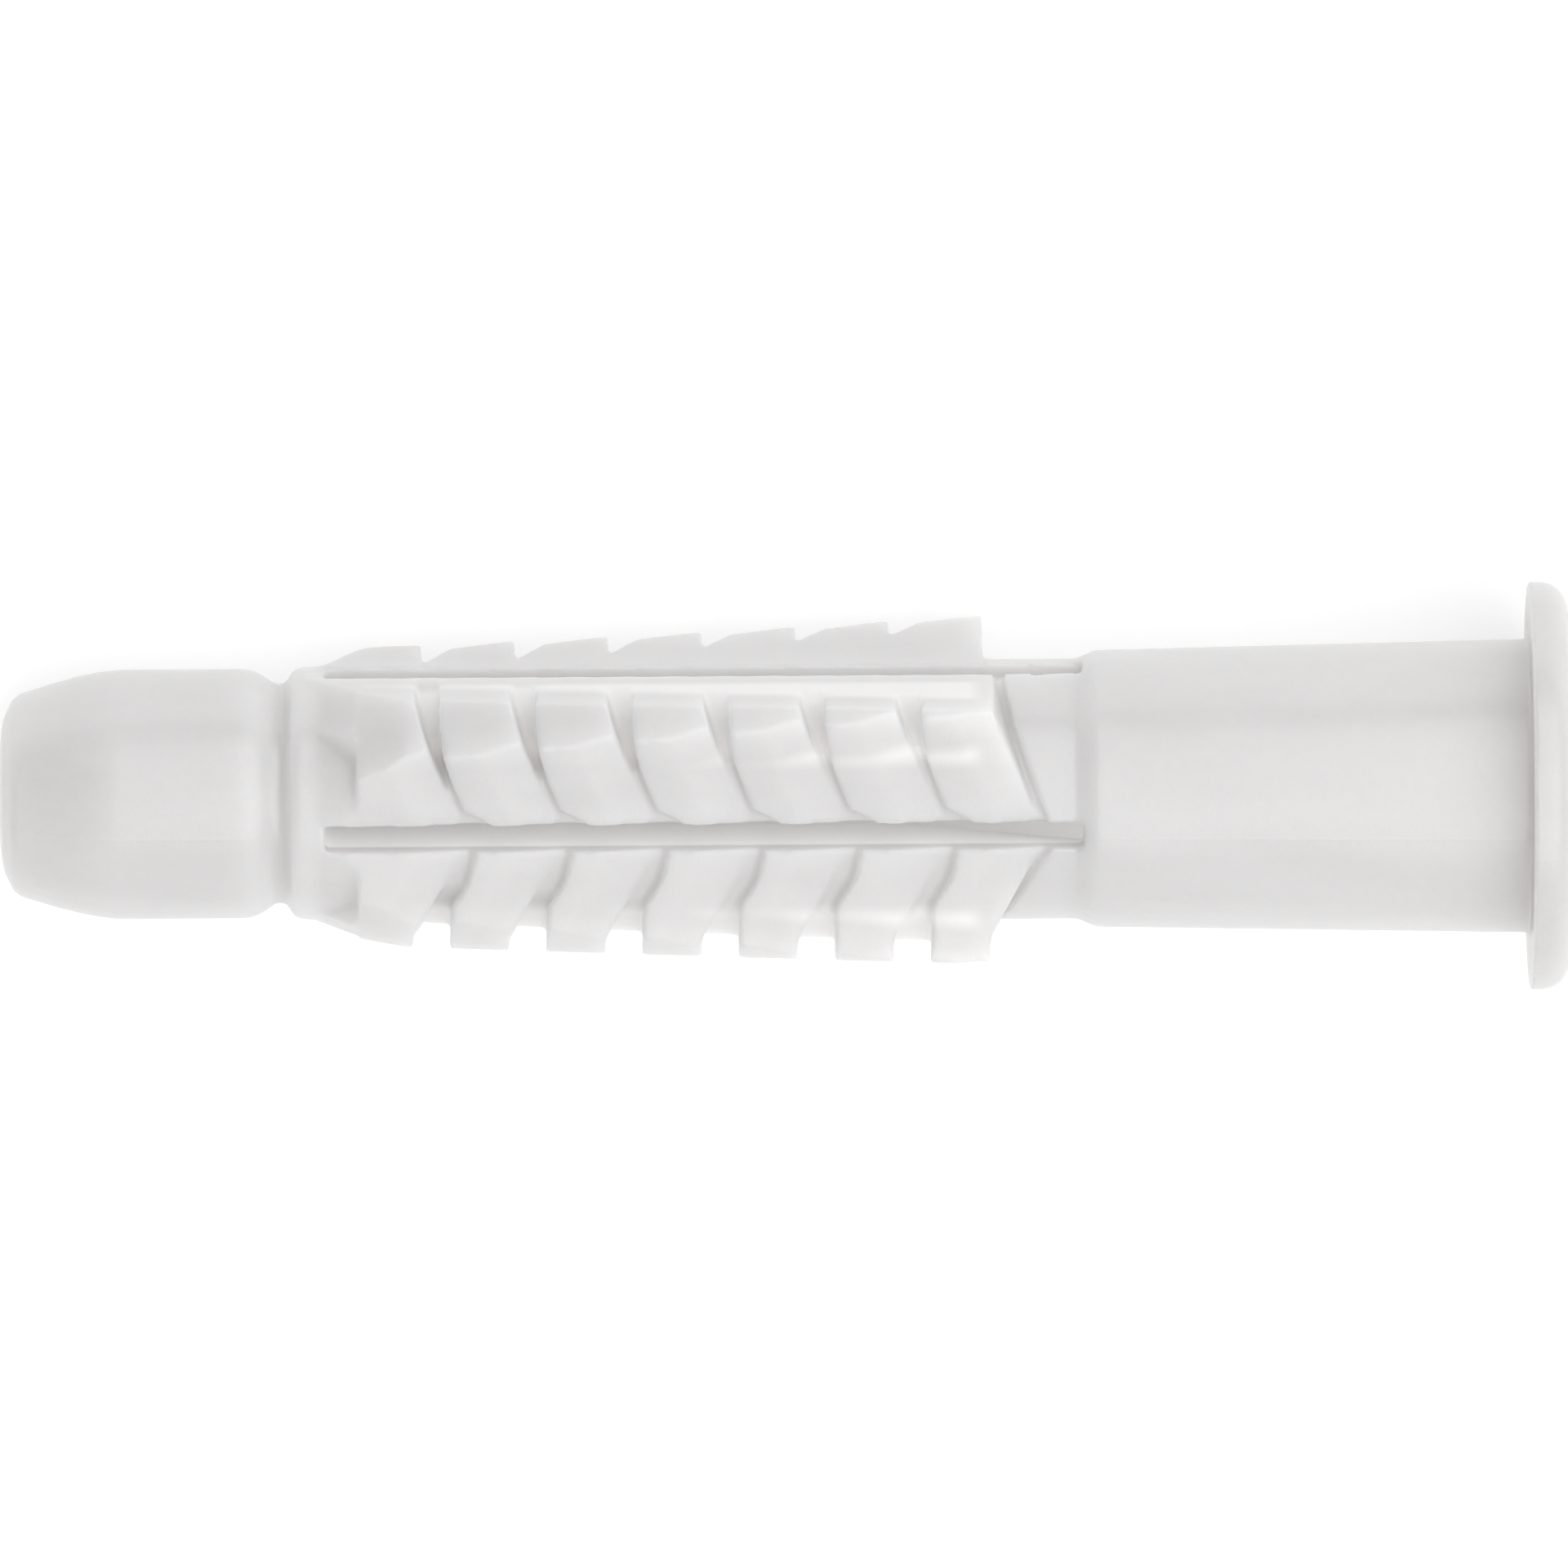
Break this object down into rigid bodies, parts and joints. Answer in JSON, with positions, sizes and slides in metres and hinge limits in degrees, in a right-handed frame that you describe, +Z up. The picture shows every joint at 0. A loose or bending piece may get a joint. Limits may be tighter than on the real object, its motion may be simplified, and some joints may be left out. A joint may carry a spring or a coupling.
{
  "type": "universal wall plug",
  "caption": "Plastic universal wall plug with a collar, a plain shank and a slotted expansion zone with oblique teeth and barbs, lying on its side.",
  "frame": {"origin": "centre of the bounding box on the surface that the plug lies on", "axes": "+X from the nose to the collar along the plug, +Z up, with the oblique grooves on top; the plug's axis rises about 3.2 degrees towards the collar, because it lies on its collar rim and nose"},
  "size_m": [0.0402, 0.0104, 0.0104],
  "materials": {
    "plastic": "smooth satin nylon, off-white to light grey, slightly translucent"
  },
  "bodies": {
    "root": {"wall_plug": "plastic"}
  },
  "joints": []
}
